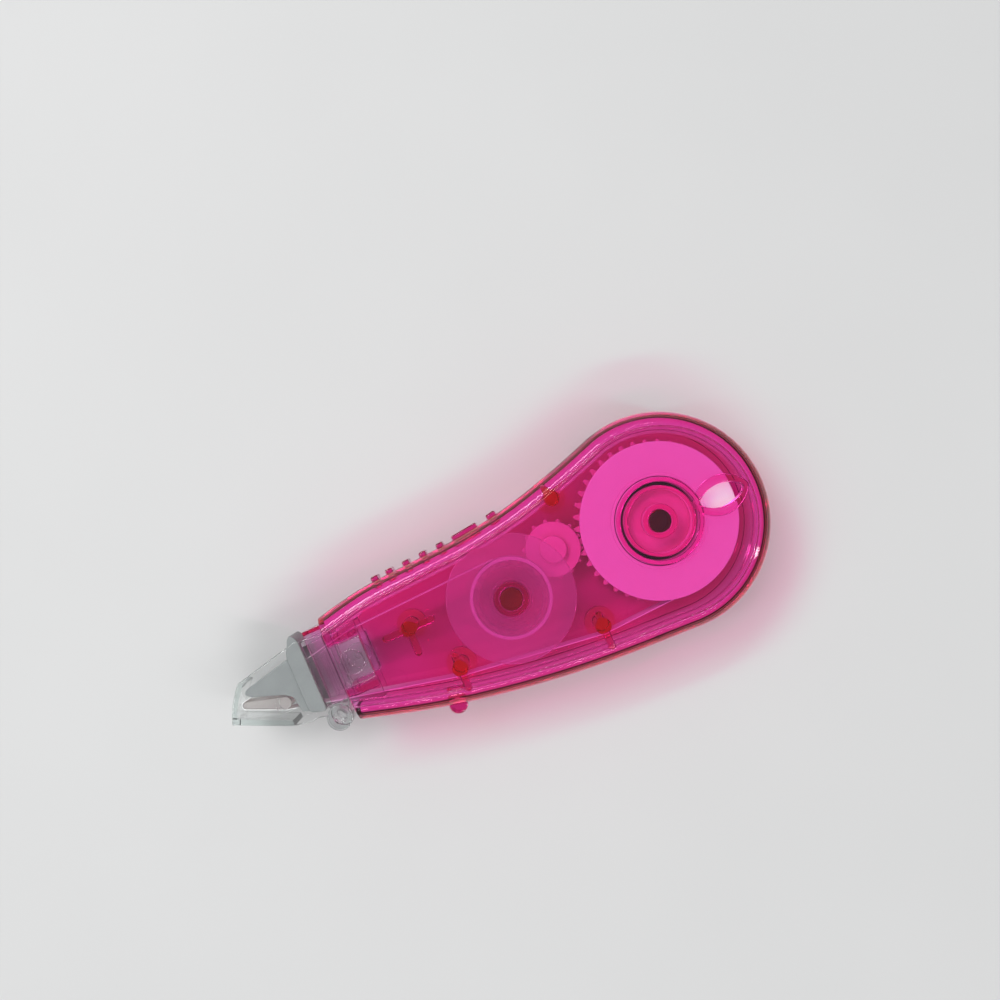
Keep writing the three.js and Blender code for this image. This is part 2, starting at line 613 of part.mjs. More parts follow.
// White tip: a tapered blade from its axle to the rounded pressing edge.
function transferTip() {
  const [edgeRun, axleRun] = [[TIP_EDGE, TIP_AXLE], [TIP_AXLE, TIP_EDGE]].map(([a, b], i) =>
    tangentRun(a, i ? AXLE : TIP_RADIUS, 1, b, i ? TIP_RADIUS : AXLE, 1));
  const blade = new THREE.Shape();
  blade.absarc(...TIP_EDGE, TIP_RADIUS, angleTo(TIP_EDGE, axleRun[1]), angleTo(TIP_EDGE, edgeRun[0]));
  blade.absarc(...TIP_AXLE, AXLE, angleTo(TIP_AXLE, edgeRun[1]), angleTo(TIP_AXLE, axleRun[0]));
  return join(
    slab(blade.closePath(), TAPE_Z0 - 0.05, TAPE_Z1 + 0.05, 8),
    disc(TIP_AXLE, AXLE, MID - ARM_HALF, MID + ARM_HALF, 20),
  );
}

// Clear cap: two cheeks on the pivot, an end wall that is an arc about the pivot, and a floor. Its top
// is open, so the cap swings down off the nose. The floor stops short of the pivot to pass the chin.
function headCap() {
  const [px, py] = CAP_PIVOT;
  const rad = THREE.MathUtils.degToRad;
  const top = rad(138);
  const bottom = rad(160.5);
  const rearX = CASING_FRONT_X - 0.35;
  const fromPivot = (x, y) => [px + x, py + y];
  const onArc = (radius, angle) => fromPivot(radius * Math.cos(angle), radius * Math.sin(angle));
  const cheek = new THREE.Shape().moveTo(rearX, 4.5).lineTo(-57, 5.15);
  cheek.absarc(px, py, CAP_OUTER, top, bottom);
  cheek.lineTo(...fromPivot(-6.6, 1.55));
  cheek.quadraticCurveTo(...fromPivot(-4, 0.95), ...fromPivot(-2.6, 1.2));
  cheek.absarc(px, py, CAP_EYE, rad(150), rad(380));
  cheek.lineTo(rearX, -6).closePath();
  const endWall = new THREE.Shape();
  endWall.absarc(px, py, CAP_OUTER, top, bottom);
  endWall.absarc(px, py, CAP_INNER, bottom, top, true);
  const floor = new THREE.Shape([
    fromPivot(-6.6, 1.55), fromPivot(-6.6, 2.35), onArc(CAP_INNER + 0.3, rad(157.5)), onArc(CAP_OUTER, bottom),
  ].map((p) => new THREE.Vector2(...p)));
  const cheekOuter = CAP_INNER_HALF + CAP_CHEEK;
  const spans = [MID - CAP_INNER_HALF - 0.3, MID + CAP_INNER_HALF + 0.3];
  return join(
    ...eachSide(CAP_INNER_HALF, cheekOuter, (z0, z1) => slab(cheek, z0, z1, 10)),
    slab(endWall.closePath(), ...spans, 10),
    slab(floor, ...spans),
    ...eachSide(2.8, CAP_INNER_HALF + ROOT, (z0, z1) => disc(CAP_PIVOT, CAP_PIN, z0, z1, 20)),
  );
}

// ---------------------------------------------------------------- the assembly
function named(name, body, material) {
  const mesh = new THREE.Mesh(geometryOf(body), material);
  mesh.name = name;
  return mesh;
}

// A group of parts that turn about one axis, turned so that its gear meshes with its neighbour's.
function reel([x, y], turn, ...meshes) {
  const group = new THREE.Group().add(...meshes);
  group.position.set(x, y, 0);
  group.rotation.z = turn;
  return group;
}

const roller = new THREE.Group();
roller.add(
  named("front_casing", frontCasing(), seeThrough(PINK_CASING, 0.5)),
  named("rear_casing", rearCasing(), seeThrough(PINK_CASING, 0.5)),
  named("head_holder", headHolder(), seeThrough(CLEAR, 0.3)),
  named("nose_guard", noseGuard(), plastic(GREY, { roughness: 0.55 })),
  named("transfer_tip", transferTip(), plastic(0xf2efe9, { roughness: 0.4 })),
  named("head_cap", headCap(), seeThrough(CLEAR, 0.25)),
  named("feed_tape", feedTape(), plastic(0xf8f8f6, { roughness: 0.7 })),
  named("tip_tape", tipTape(), plastic(0xf8f8f6, { roughness: 0.7 })),
  named("return_tape", returnTape(), plastic(0xe8d9dc, { roughness: 0.5 })),
  reel(
    SUPPLY, supplyTurn,
    named("supply_gear", supplyGear(), plastic(PALE_PINK)),
    named("clutch_ring", clutchRing(), plastic(0x2a2a2c, { roughness: 0.85 })),
    named("supply_core", supplyCore(), plastic(0xf6f2f2)),
    named("supply_disc", supplyDisc(), plastic(0xf6f2f2)),
    named("supply_tape_roll", supplyRoll(), plastic(0xfafaf8, { roughness: 0.75 })),
  ),
  reel(IDLER, idlerTurn, named("idler_gear", idlerGear(), plastic(PALE_PINK))),
  reel(
    TAKEUP, takeupTurn,
    named("takeup_reel", takeupReel(), seeThrough(CLEAR_PINK, 0.6)),
    named("takeup_disc", takeupDisc(), seeThrough(CLEAR_PINK, 0.4)),
    named("takeup_tape_roll", takeupRoll(), plastic(0xf0c4d4, { roughness: 0.6 })),
  ),
);

export default roller;
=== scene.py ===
"""Looks for the correction tape roller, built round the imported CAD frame. Lengths named in this file are
millimetres in the CAD frame, and MM turns them into Blender's metres."""
import json
import math

import bmesh
import bpy
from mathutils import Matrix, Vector


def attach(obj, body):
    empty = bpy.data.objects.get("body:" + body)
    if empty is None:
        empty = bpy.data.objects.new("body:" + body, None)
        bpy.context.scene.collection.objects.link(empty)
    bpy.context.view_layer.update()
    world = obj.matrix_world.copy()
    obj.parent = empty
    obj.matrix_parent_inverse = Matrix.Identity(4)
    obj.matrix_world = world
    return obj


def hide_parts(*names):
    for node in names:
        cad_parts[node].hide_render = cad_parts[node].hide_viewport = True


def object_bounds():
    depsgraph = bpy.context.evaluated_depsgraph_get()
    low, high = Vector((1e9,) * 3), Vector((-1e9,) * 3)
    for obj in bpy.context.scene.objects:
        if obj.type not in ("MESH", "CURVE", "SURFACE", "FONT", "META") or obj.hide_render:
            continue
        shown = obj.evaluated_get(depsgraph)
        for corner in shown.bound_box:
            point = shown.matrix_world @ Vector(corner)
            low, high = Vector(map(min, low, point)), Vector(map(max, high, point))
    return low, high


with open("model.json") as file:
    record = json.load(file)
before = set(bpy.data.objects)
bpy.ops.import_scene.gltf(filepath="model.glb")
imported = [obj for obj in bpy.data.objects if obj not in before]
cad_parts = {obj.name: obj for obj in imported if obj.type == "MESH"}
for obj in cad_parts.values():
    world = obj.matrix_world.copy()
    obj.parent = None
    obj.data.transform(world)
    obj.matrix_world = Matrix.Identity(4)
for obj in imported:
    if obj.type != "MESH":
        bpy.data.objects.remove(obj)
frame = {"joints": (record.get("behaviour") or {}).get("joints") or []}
cad_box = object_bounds()

MM = 0.001
MID = 6.5  # height of the parting plane between the casing halves
THICKNESS = 13.0
PIN_RADIUS = 1.2
REEL_SPINDLE_RADIUS = 1.7
IDLER_SPINDLE_RADIUS = 1.15
PACK_RADIUS = 11.3  # outside of the fresh tape
SPENT_RADIUS = 6.2  # outside of the bare film on the take-up reel
TAPE_Z0, TAPE_Z1 = 4.0, 9.0
DISC_Z0 = 9.3  # underside of the reels' front discs


def axis_of(joint):
    """Where a joint's axis meets the rear face, in millimetres."""
    place = next(j["pos_m"] for j in frame["joints"] if j["name"] == joint)
    return place[0] / MM, place[1] / MM


SUPPLY = axis_of("supply_spin")
IDLER = axis_of("idler_spin")
TAKEUP = axis_of("takeup_spin")
TIP_AXLE = axis_of("tip_rock")
CAP_PIVOT = axis_of("cap_swing")


# ------------------------------------------------------------------ node-based materials
class Shader:
    """A material under construction: adds nodes and links them by name."""

    def __init__(self, name):
        self.material = bpy.data.materials.new(name)
        self.material.use_nodes = True
        self.tree = self.material.node_tree
        self.tree.nodes.clear()
        self.out = self.tree.nodes.new("ShaderNodeOutputMaterial")
        self.place = self.add("ShaderNodeTexCoord").outputs["Object"]

    def add(self, kind, inputs=None, **settings):
        node = self.tree.nodes.new(kind)
        for key, value in settings.items():
            setattr(node, key, value)
        for key, value in (inputs or {}).items():
            if isinstance(value, bpy.types.NodeSocket):
                self.tree.links.new(value, node.inputs[key])
            else:
                node.inputs[key].default_value = value
        return node

    def noise(self, size_mm, detail=3.0, stretch=None):
        """Noise whose features are about size_mm across, from 0 to 1."""
        place = self.place
        if stretch:
            place = self.add("ShaderNodeMapping", {"Vector": place, "Scale": stretch}).outputs[0]
        scale = 1 / (size_mm * MM)
        inputs = {"Vector": place, "Scale": scale, "Detail": detail, "Roughness": 0.5}
        return self.add("ShaderNodeTexNoise", inputs).outputs["Fac"]

    def rings(self, centre, pitch_mm, distortion=0.0):
        """Rings about an upright axis at centre, pitch_mm apart, from 0 to 1."""
        shift = (-centre[0] * MM, -centre[1] * MM, 0)
        place = self.add("ShaderNodeMapping", {"Vector": self.place, "Location": shift}).outputs[0]
        scale = math.pi / 10 / (pitch_mm * MM)  # at a scale of 1 the rings are pi / 10 apart
        inputs = {"Vector": place, "Scale": scale, "Distortion": distortion, "Detail": 1.0}
        kind = {"wave_type": "RINGS", "rings_direction": "Z"}
        return self.add("ShaderNodeTexWave", inputs, **kind).outputs["Fac"]

    def span(self, value, low, high):
        """Maps 0..1 to low..high."""
        return self.add("ShaderNodeMapRange", {"Value": value, "To Min": low, "To Max": high}).outputs[0]

    def mix(self, factor, first, second):
        node = self.add("ShaderNodeMix", data_type="RGBA")
        for key, value in ((0, factor), (6, first), (7, second)):
            if isinstance(value, bpy.types.NodeSocket):
                self.tree.links.new(value, node.inputs[key])
            else:
                node.inputs[key].default_value = value
        return node.outputs[2]

    def bump(self, height, depth_mm, under=None):
        inputs = {"Height": height, "Distance": depth_mm * MM, "Strength": 1.0}
        if under is not None:
            inputs["Normal"] = under
        return self.add("ShaderNodeBump", inputs).outputs[0]

    def surface(self, socket):
        self.tree.links.new(socket, self.out.inputs["Surface"])

    def volume(self, socket):
        self.tree.links.new(socket, self.out.inputs["Volume"])


def opaque(color):
    return (*color, 1.0)


MILK_WHITE = (0.93, 0.9, 0.91)
SHADOW_TINT = (0.96, 0.96, 0.96)
FINE_BUMP = 0.0003


def see_through(name, ior, absorb_per_mm, wave_depth, milk=0.0, gloss=0.11):
    """Moulded transparent plastic, whose thickness gives it its colour. Light that only shadows things
    passes straight through, so the parts inside are lit. `milk` is the share that scatters light."""
    s = Shader(name)
    haze = s.noise(0.9, detail=5.0)
    scuffs = s.noise(0.35, detail=2.0, stretch=(0.25, 1.6, 1.0))
    mixed = s.add("ShaderNodeMath", {0: haze, 1: scuffs}, operation="MULTIPLY").outputs[0]
    roughness = s.span(mixed, 0.0, gloss)
    waves = s.bump(s.noise(7.0, detail=1.0), wave_depth)
    normal = s.bump(s.noise(0.12, detail=2.0), FINE_BUMP, under=waves)
    inputs = {"Roughness": roughness, "IOR": ior, "Normal": normal}
    body = s.add("ShaderNodeBsdfGlass", inputs).outputs[0]
    if milk:
        cloud = s.span(s.noise(3.0, detail=4.0), 0.8 * milk, 1.2 * milk)
        diffuse = s.add("ShaderNodeBsdfDiffuse", {"Color": opaque(MILK_WHITE), "Normal": normal}).outputs[0]
        through = s.add("ShaderNodeBsdfTranslucent", {"Color": opaque(MILK_WHITE)}).outputs[0]
        scatter = s.add("ShaderNodeMixShader", {0: 0.5, 1: diffuse, 2: through}).outputs[0]
        body = s.add("ShaderNodeMixShader", {0: cloud, 1: body, 2: scatter}).outputs[0]
    clear = s.add("ShaderNodeBsdfTransparent", {"Color": opaque(SHADOW_TINT)}).outputs[0]
    path = s.add("ShaderNodeLightPath").outputs
    rays = {0: path["Is Shadow Ray"], 1: path["Is Diffuse Ray"]}
    passing = s.add("ShaderNodeMath", rays, operation="MAXIMUM")
    both = s.add("ShaderNodeMixShader", {0: passing.outputs[0], 1: body, 2: clear})
    s.surface(both.outputs[0])
    strongest = max(absorb_per_mm)
    share = [1 - a / strongest for a in absorb_per_mm]
    density = strongest / MM
    absorb = s.add("ShaderNodeVolumeAbsorption", {"Color": opaque(share), "Density": density})
    s.volume(absorb.outputs[0])
    return s.material


def moulded(name, color, second, grain_mm, grain_depth, roughness, glow=0.0, rings=None):
    """Opaque moulded plastic: two close tones, a grain, uneven gloss, and tool rings on round parts."""
    s = Shader(name)
    tone = s.noise(2.5, detail=4.0)
    base = s.mix(tone, opaque(color), opaque(second))
    uneven = s.span(s.noise(0.8, detail=5.0), roughness - 0.07, roughness + 0.1)
    normal = s.bump(s.noise(grain_mm, detail=3.0), grain_depth)
    if rings:
        normal = s.bump(s.rings(*rings), 0.004, under=normal)
    inputs = {"Base Color": base, "Roughness": uneven, "Normal": normal, "IOR": 1.5}
    if glow:
        inputs["Subsurface Weight"] = glow
        inputs["Subsurface Radius"] = (1.0, 0.6, 0.6)
        inputs["Subsurface Scale"] = 0.6 * MM
    s.surface(s.add("ShaderNodeBsdfPrincipled", inputs).outputs[0])
    return s.material


def wound_tape(name, centre, coat, film):
    """Tape wound on a core: the roll's faces show its turns as fine rings of coating and film."""
    s = Shader(name)
    turns = s.rings(centre, 0.12, distortion=1.5)
    slow = s.rings(centre, 0.9, distortion=2.0)
    fine = s.mix(turns, opaque(coat), opaque(film))
    base = s.mix(s.span(slow, 0.0, 0.35), fine, opaque(coat))
    normal = s.bump(turns, 0.02)
    inputs = {"Base Color": base, "Roughness": s.span(s.noise(0.5), 0.55, 0.8), "Normal": normal}
    s.surface(s.add("ShaderNodeBsdfPrincipled", inputs).outputs[0])
    return s.material


PINK_ABSORB = (0.015, 0.85, 0.24)  # per millimetre of red, green and blue
MATERIALS = {
    "casing": see_through("pink_casing", 1.5, PINK_ABSORB, 0.02, gloss=0.07),
    "clear": see_through("clear_plastic", 1.49, (0.02, 0.012, 0.014), 0.015),
    "clear_pink": see_through("clear_pink_reel", 1.49, (0.01, 0.22, 0.07), 0.01, milk=0.2),
    "nose": moulded("nose_grey", (0.23, 0.245, 0.248), (0.31, 0.325, 0.325), 0.16, 0.035, 0.42),
    "tip": see_through("tip_translucent", 1.48, (0.02, 0.03, 0.05), 0.004, milk=0.55, gloss=0.4),
    "gear": moulded("gear_pink", (0.86, 0.42, 0.6), (0.8, 0.36, 0.55), 0.15, 0.003, 0.38, glow=0.3),
    "disc": moulded(
        "disc_white", (0.9, 0.86, 0.88), (0.86, 0.81, 0.84), 0.2, 0.002, 0.36, glow=0.2, rings=(SUPPLY, 0.35)
    ),
    "rubber": moulded("rubber_black", (0.02, 0.02, 0.022), (0.03, 0.03, 0.03), 0.08, 0.01, 0.75),
    "fresh": wound_tape("fresh_tape_turns", SUPPLY, (0.92, 0.92, 0.91), (0.75, 0.73, 0.74)),
    "spent": wound_tape("spent_film_turns", TAKEUP, (0.86, 0.78, 0.82), (0.6, 0.48, 0.54)),
    "strand": moulded("tape_strand", (0.92, 0.92, 0.91), (0.89, 0.89, 0.88), 0.25, 0.004, 0.6),
    "film": moulded("spent_film", (0.82, 0.74, 0.78), (0.78, 0.69, 0.73), 0.3, 0.003, 0.3),
}


# ------------------------------------------------------------------ outlines, anticlockwise, in millimetres
def spline(points, steps=24):
    """A smooth open line through the points."""
    points = [Vector(p) for p in points]
    last = len(points) - 1
    line = []
    for i in range(last):
        before, a, b, after = (points[min(max(i + k, 0), last)] for k in (-1, 0, 1, 2))
        leaving, arriving = (b - before) / 2, (after - a) / 2
        for step in range(steps):
            t = step / steps
            line.append(
                (2 * a - 2 * b + leaving + arriving) * t**3
                + (-3 * a + 3 * b - 2 * leaving - arriving) * t**2
                + leaving * t
                + a
            )
    return [*line, points[-1]]


def spaced(line, count):
    """The line again, by count equal steps along it."""
    lengths = [0.0]
    for a, b in zip(line, line[1:]):
        lengths.append(lengths[-1] + (b - a).length)
    result = []
    i = 0
    for step in range(count + 1):
        goal = lengths[-1] * step / count
        while i < len(line) - 2 and lengths[i + 1] < goal:
            i += 1
        share = (goal - lengths[i]) / (lengths[i + 1] - lengths[i])
        result.append(line[i].lerp(line[i + 1], share))
    return result


def arc(centre, radius, start, end, steps):
    """Points on a circle from one angle to another, in degrees."""
    angles = (math.radians(start + (end - start) * i / steps) for i in range(steps + 1))
    return [Vector((centre[0] + radius * math.cos(a), centre[1] + radius * math.sin(a))) for a in angles]


def circle(centre, radius, steps=48):
    return arc(centre, radius, 0, 360, steps)[:-1]


def angle_to(a, b):
    return math.atan2(b[1] - a[1], b[0] - a[0])


def bar(a, b, width):
    """A bar with round ends from a to b."""
    turn = math.degrees(angle_to(a, b))
    return [*arc(a, width / 2, turn + 90, turn + 270, 12), *arc(b, width / 2, turn - 90, turn + 90, 12)]


def rectangle(x0, x1, y0, y1, corner=0.15):
    corners = ((x1, y0, -90), (x1, y1, 0), (x0, y1, 90), (x0, y0, 180))
    points = []
    for x, y, start in corners:
        centre = (x - corner if x == x1 else x + corner, y - corner if y == y1 else y + corner)
        points += arc(centre, corner, start, start + 90, 4)
    return points


def inward(points):
    """Each corner of a closed outline with the way to move it so that every side moves in by one."""
    result = []
    for i, p in enumerate(points):
        a = (p - points[i - 1]).normalized()
        b = (points[(i + 1) % len(points)] - p).normalized()
        way = Vector((-a.y - b.y, a.x + b.x)) / (1 + a.dot(b))
        result.append((p, way))
    return result


# ------------------------------------------------------------------ closed meshes, in millimetres
def mesh_of(points, faces):
    mesh = bpy.data.meshes.new("work")
    mesh.from_pydata(points, [], faces)
    return mesh


def skin(rings):
    """A closed body through rings of points, lowest first, with the first and the last filled in."""
    n = len(rings[0])
    points = [p for ring in rings for p in ring]
    faces = [tuple(range(n))[::-1], tuple(range(len(points) - n, len(points)))]
    for k in range(0, len(points) - n, n):
        faces += [(k + i, k + (i + 1) % n, k + n + (i + 1) % n, k + n + i) for i in range(n)]
    return mesh_of(points, faces)


def prism(outline, z0, z1, edge=0.1):
    """The outline raised from z0 to z1, with rounded edges."""
    corners = inward(outline)
    turns = [math.radians(a) for a in (0, 30, 60, 90)]
    low = [(z0 + edge * (1 - math.sin(t)), edge * (1 - math.cos(t))) for t in turns[::-1]]
    high = [(z1 - edge * (1 - math.sin(t)), edge * (1 - math.cos(t))) for t in turns]
    return skin([[(*(p + way * inset), z) for p, way in corners] for z, inset in low + high])


def turned(centre, section, steps=96):
    """A closed section [radius, z], anticlockwise, turned about an upright axis."""
    points = []
    for i in range(steps):
        a = 2 * math.pi * i / steps
        points += [(centre[0] + r * math.cos(a), centre[1] + r * math.sin(a), z) for r, z in section]
    n = len(section)
    total = len(points)
    faces = []
    for k in range(0, total, n):
        for j in range(n):
            after = (j + 1) % n
            faces.append((k + j, (k + n + j) % total, (k + n + after) % total, k + after))
    return mesh_of(points, faces)


def ring(centre, inner, outer, z0, z1, edge=0.08, steps=96):
    return turned(centre, rectangle(inner, outer, z0, z1, edge), steps)


def combined(operation, body, *tools):
    """Joins closed meshes to the body, or cuts them from it."""
    scene = bpy.context.scene
    work = bpy.data.objects.new("work", body)
    scene.collection.objects.link(work)
    helpers = []
    for tool in tools:
        helper = bpy.data.objects.new("tool", tool)
        scene.collection.objects.link(helper)
        helpers.append(helper)
        modifier = work.modifiers.new("step", "BOOLEAN")
        modifier.operation = operation
        modifier.solver = "MANIFOLD"
        modifier.object = helper
    evaluated = work.evaluated_get(bpy.context.evaluated_depsgraph_get())
    result = bpy.data.meshes.new_from_object(evaluated)
    for obj in (work, *helpers):
        mesh = obj.data
        bpy.data.objects.remove(obj)
        bpy.data.meshes.remove(mesh)
    return result


def join(body, *tools):
    return combined("UNION", body, *tools)


def cut(body, *tools):
    return combined("DIFFERENCE", body, *tools)


# ------------------------------------------------------------------ pieces
WELD = 2e-4  # vertices closer than this are one
FLAT = math.radians(0.1)  # faces that meet at less than this are one
SHARP = math.radians(35)  # edges that turn by less than this are shaded smooth


def piece_of(node, source, material, body, slot):
    """Cleans a mesh and makes it the piece that rides on a body and stands for a CAD node."""
    bm = bmesh.new()
    bm.from_mesh(source)
    bmesh.ops.remove_doubles(bm, verts=bm.verts, dist=WELD)
    bmesh.ops.dissolve_degenerate(bm, edges=bm.edges, dist=WELD)
    bmesh.ops.dissolve_limit(bm, angle_limit=FLAT, verts=bm.verts, edges=bm.edges)
    mesh = bpy.data.meshes.new(node)
    bmesh.ops.scale(bm, vec=(MM, MM, MM), verts=bm.verts)
    bm.to_mesh(mesh)
    bm.free()
    mesh.materials.append(MATERIALS[material])
    mesh.polygons.foreach_set("use_smooth", [True] * len(mesh.polygons))
    mesh.set_sharp_from_angle(angle=SHARP)
    obj = bpy.data.objects.new("v_" + node, mesh)
    bpy.context.scene.collection.objects.link(obj)
    weighted = obj.modifiers.new("weighted", "WEIGHTED_NORMAL")
    weighted.keep_sharp = True
    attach(obj, body)
    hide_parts(node)


def rounded(corners, reach):
    """A closed outline with each corner rounded by a curve that starts `reach` before it."""
    corners = [Vector(c) for c in corners]
    points = []
    for i, corner in enumerate(corners):
        sides = (p - corner for p in (corners[i - 1], corners[(i + 1) % len(corners)]))
        start, end = (corner + side.normalized() * min(reach, side.length / 2.1) for side in sides)
        for step in range(7):
            t = step / 6
            points.append(start * (1 - t) ** 2 + corner * 2 * t * (1 - t) + end * t**2)
    return points


# ------------------------------------------------------------------ casing
TAIL_CENTRE = (0, -0.3)
TAIL_RADIUS = 16.6
MOUTH_X = -52.4  # the casing's open front end
NECK_X = -55.4
SKIN_GAP = 0.02  # the smooth outline keeps this far inside the CAD's
PLATE_Z = 11.7  # inside of the front face plate
POST_Z = 11.9  # posts and ribs run this far into the plate
FRONT_Z0 = 6.55
REAR_Z1 = 6.45
IDLER_SPINDLE_TOP = 4.2
REEL_SPINDLE_TOP = 11.3
PINS = REAR_PIN, FRONT_PIN, TOP_PIN, MIDDLE_PIN = (-13.9, -10.9), (-35.8, -8.2), (-13.4, 9.5), (-40.5, 0.2)
TOP_EDGE = spline([
    (-4.96, 15.52), (-12, 13.2), (-20, 11.05), (-28, 9.75),
    (-36.5, 9.1), (-44.8, 8.5), (MOUTH_X, 7.0), (-58, 5.6),
])
BOTTOM_EDGE = spline([
    (-58, -7.9), (MOUTH_X, -9.5), (-43, -12.1), (-34, -14.0),
    (-24, -15.5), (-13.8, -16.4), (-0.7, -16.88),
])


def casing_outline():
    """The casing's outline in side view, each point with its inward normal."""
    start, end = (math.degrees(angle_to(TAIL_CENTRE, p)) for p in (BOTTOM_EDGE[-1], TOP_EDGE[0]))
    points = [
        *spaced(BOTTOM_EDGE, 90)[:-1],
        *arc(TAIL_CENTRE, TAIL_RADIUS, start, end, 130),
        *spaced(TOP_EDGE, 96)[1:],
    ]
    result = []
    for i, p in enumerate(points):
        along = (points[min(i + 1, len(points) - 1)] - points[max(i - 1, 0)]).normalized()
        result.append((p, Vector((-along.y, along.x))))
    return result


OUTLINE = casing_outline()
SHOULDER_Z = 9.3  # where the straight side wall ends
WALL = 1.45


def curve_in(rise, inset, step, count, start=0.0):
    """Layers [z, inset] up an elliptic shoulder: `count` of them, `step` degrees apart."""
    angles = [math.radians(step * i) for i in range(count)]
    return [(SHOULDER_Z + rise * math.sin(t), start + inset * (1 - math.cos(t))) for t in angles]


PARTING_ROUND = [(0.0, 0.1), (0.04, 0.03), (0.12, 0.0)]  # [above the parting face, inset]
SHOULDER = curve_in(3.35, 2.3, 2.6, 31)
FACE_STEP = [(12.62, 2.08), (12.66, 2.2), (12.74, 2.27), (12.88, 2.31), (12.96, 2.38), (THICKNESS, 2.52)]
HOLLOW = curve_in(2.4, 2.05, 4.5, 21, start=WALL)


def lofted(layers, front):
    """A body through layers [z, inset] of the casing's outline. The rear half's is the mirror image."""
    rings = [[(*(p + n * (inset + SKIN_GAP)), z) for p, n in OUTLINE] for z, inset in layers]
    if not front:
        rings = [[(x, y, THICKNESS - z) for x, y, z in points] for points in reversed(rings)]
    return skin(rings)


def block(x0, x1, y0, y1, *heights):
    return prism(rectangle(x0, x1, y0, y1, 0.1), min(heights), max(heights), 0.08)


def mesh_box(x0, x1, y0, y1, z0, z1):
    return skin([[(x1, y0, z), (x1, y1, z), (x0, y1, z), (x0, y0, z)] for z in (z0, z1)])


GRIP_RIDGES = [*((-42.6 + 2.75 * i, 1.1) for i in range(5)), (-27.2, 4.2), (-22.5, 1.5)]  # [middle x, length]
RIDGE_PROUD = 0.65
RIDGE_DEPTH = 1.2
RIDGE_HALF_WIDTH = 2.4
CATCH = (-38.4, -13.3)
CATCH_RADIUS = 1.4
EJECTOR_RADIUS = 1.7
EJECTOR_MARKS = [(-45.0, 3.8), (-45.2, -6.1), (-27.0, 5.6), (-8.3, -10.9)]
NOTCH = rectangle(MOUTH_X - 1, -47.5, -4.3, 2.4, 0.12)


def grip_ridge(x, length, z0, z1):
    i = min(range(len(TOP_EDGE)), key=lambda k: abs(TOP_EDGE[k].x - x))
    along = (TOP_EDGE[i - 1] - TOP_EDGE[i + 1]).normalized()
    out = Vector((-along.y, along.x))
    half = length / 2
    flat = rectangle(-half, half, -RIDGE_DEPTH, RIDGE_PROUD, 0.25)
    return prism([TOP_EDGE[i] + along * p.x + out * p.y for p in flat], z0, z1, 0.2)


def half_shell(front):
    """The wall of one casing half, with the grip ridges and the chin stud."""
    start = FRONT_Z0 if front else THICKNESS - REAR_Z1
    z0, z1 = (FRONT_Z0, MID + RIDGE_HALF_WIDTH) if front else (MID - RIDGE_HALF_WIDTH, REAR_Z1)
    outside = [(start + up, inset) for up, inset in PARTING_ROUND] + SHOULDER + FACE_STEP
    body = join(
        lofted(outside, front),
        *(grip_ridge(x, length, z0, z1) for x, length in GRIP_RIDGES),
        prism(circle(CATCH, CATCH_RADIUS), z0, z1, 0.25),
    )
    mouth = mesh_box(-70, MOUTH_X, -20, 20, -1, THICKNESS + 1)
    return cut(body, lofted([(MID - 2, WALL), *HOLLOW], front), mouth)


def neck(front):
    """Thin walls that carry the casing forward over the head, open between their feet for the lock plate."""
    inner, outer, foot = 3.7, 4.3, POST_Z - MID
    rear_x, low, high = MOUTH_X + 0.8, -5.6, 5.95
    side = 1 if front else -1
    at = lambda *heights: [MID + side * h for h in heights]
    parting = FRONT_Z0 - MID
    return [
        block(NECK_X, MOUTH_X - 0.15, low, high, *at(inner, outer)),
        block(NECK_X, rear_x, 2.5, high, *at(inner, outer)),
        block(NECK_X, rear_x, low, -4.4, *at(inner, outer)),
        block(MOUTH_X, rear_x, 2.5, high - 0.9, *at(inner, foot)),
        block(MOUTH_X, rear_x, low, -4.4, *at(inner, foot)),
        block(NECK_X, rear_x, high - 0.6, high, *at(parting, outer)),
    ]


WINDOW_X = 9.7


def almond(half_x, half_y, steps=96):
    """Outline of the thumb window: a leaf with its points along X."""
    points = []
    for i in range(steps):
        t = 2 * math.pi * i / steps
        rise = math.copysign(abs(math.sin(t)) ** 1.5, math.sin(t))
        points.append(Vector((WINDOW_X + half_x * math.cos(t), half_y * rise)))
    return points


def leaf(half_x, half_y, layers):
    """The window's outline raised through layers [z, added to both half-sizes]."""
    return skin([[(*p, z) for p in almond(half_x + more, half_y + more)] for z, more in layers])


